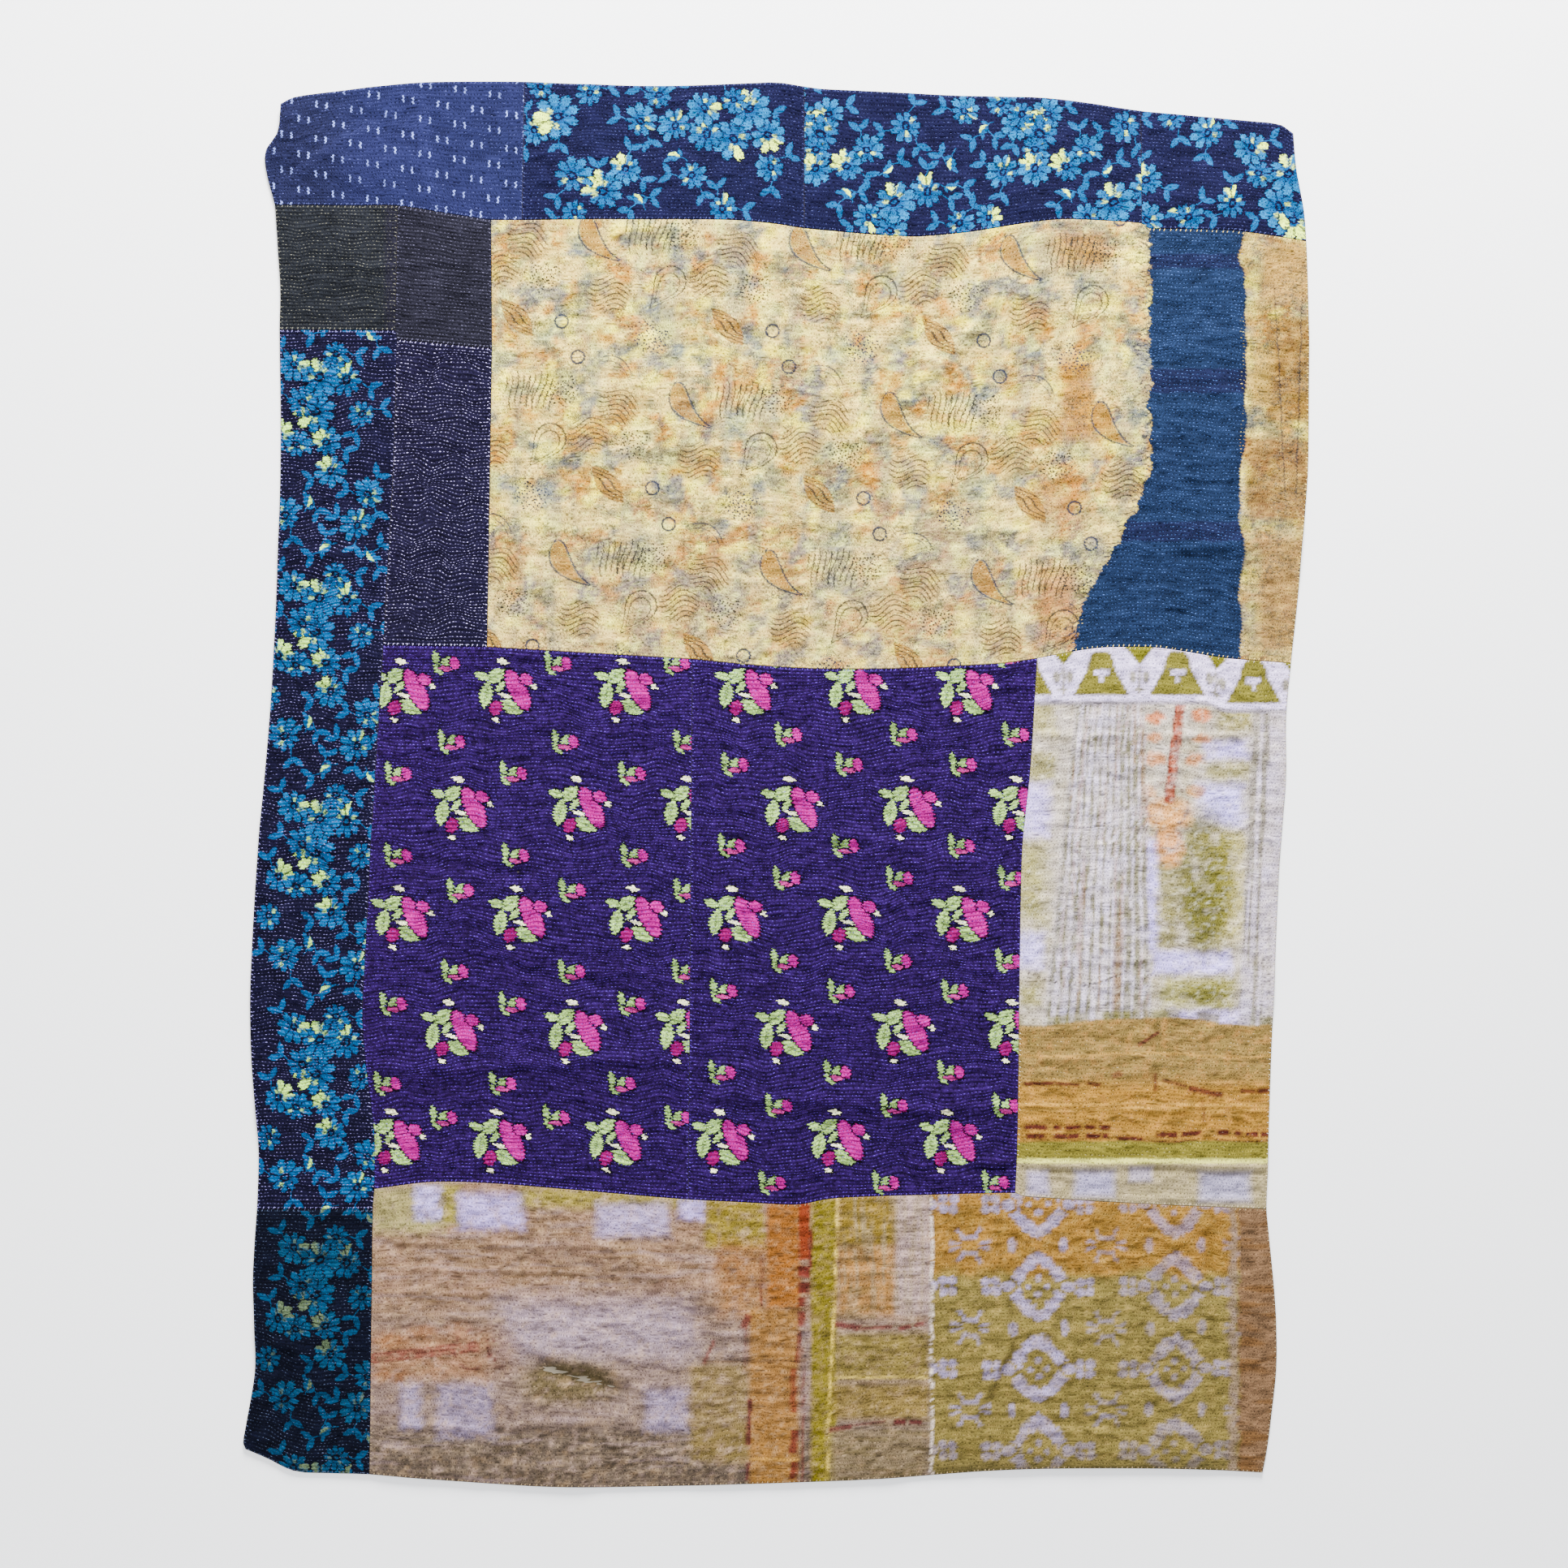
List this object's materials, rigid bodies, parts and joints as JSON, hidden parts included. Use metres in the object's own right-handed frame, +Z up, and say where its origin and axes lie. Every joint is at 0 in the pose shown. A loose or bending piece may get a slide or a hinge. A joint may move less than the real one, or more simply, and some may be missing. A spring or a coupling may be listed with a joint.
{
  "type": "kantha quilt",
  "caption": "Thin kantha throw lying open: used printed cloths joined edge to edge over a soft layered body, quilted all over with rows of running stitch.",
  "frame": {"origin": "under the middle of the quilt, on the surface it lies on", "axes": "+X to the quilt's right and +Y to its top, seen from above, +Z up out of its face"},
  "size_m": [1.3142, 1.733, 0.0137],
  "materials": {
    "body_layers": "soft matt cotton, off-white, quilted",
    "indigo_dash_cloth": "soft matt cotton, indigo with pairs of white dashes",
    "black_cloth_left": "soft matt cotton, washed black",
    "black_cloth_right": "soft matt cotton, washed black",
    "navy_cloth": "soft matt cotton, navy under dense pale stitches",
    "floral_cloth_top_left": "soft matt cotton, turquoise flowers on navy",
    "floral_cloth_top_mid": "soft matt cotton, turquoise flowers on navy",
    "floral_cloth_top_right": "soft matt cotton, turquoise flowers on navy",
    "floral_cloth_side": "soft matt cotton, turquoise flowers on navy",
    "floral_cloth_foot": "soft matt cotton, teal flowers on black-navy",
    "cream_paisley_cloth": "soft matt cotton, cream with line-drawn paisleys and dye washes",
    "purple_cloth_left": "soft matt cotton, purple with pink blooms",
    "purple_cloth_right": "soft matt cotton, purple with pink blooms",
    "striped_print_cloth": "soft matt cotton, pale lavender with olive and ochre stripes",
    "mustard_print_cloth": "soft matt cotton, mustard and pale lavender print"
  },
  "bodies": {
    "root": {"quilt_body": "body_layers", "face_indigo": "indigo_dash_cloth", "face_black_left": "black_cloth_left", "face_black_right": "black_cloth_right", "face_navy": "navy_cloth", "face_floral_top_left": "floral_cloth_top_left", "face_floral_top_mid": "floral_cloth_top_mid", "face_floral_top_right": "floral_cloth_top_right", "face_floral_side": "floral_cloth_side", "face_floral_foot": "floral_cloth_foot", "face_paisley": "cream_paisley_cloth", "face_purple_left": "purple_cloth_left", "face_purple_right": "purple_cloth_right", "face_print_right": "striped_print_cloth", "face_print_low": "mustard_print_cloth"}
  },
  "joints": []
}
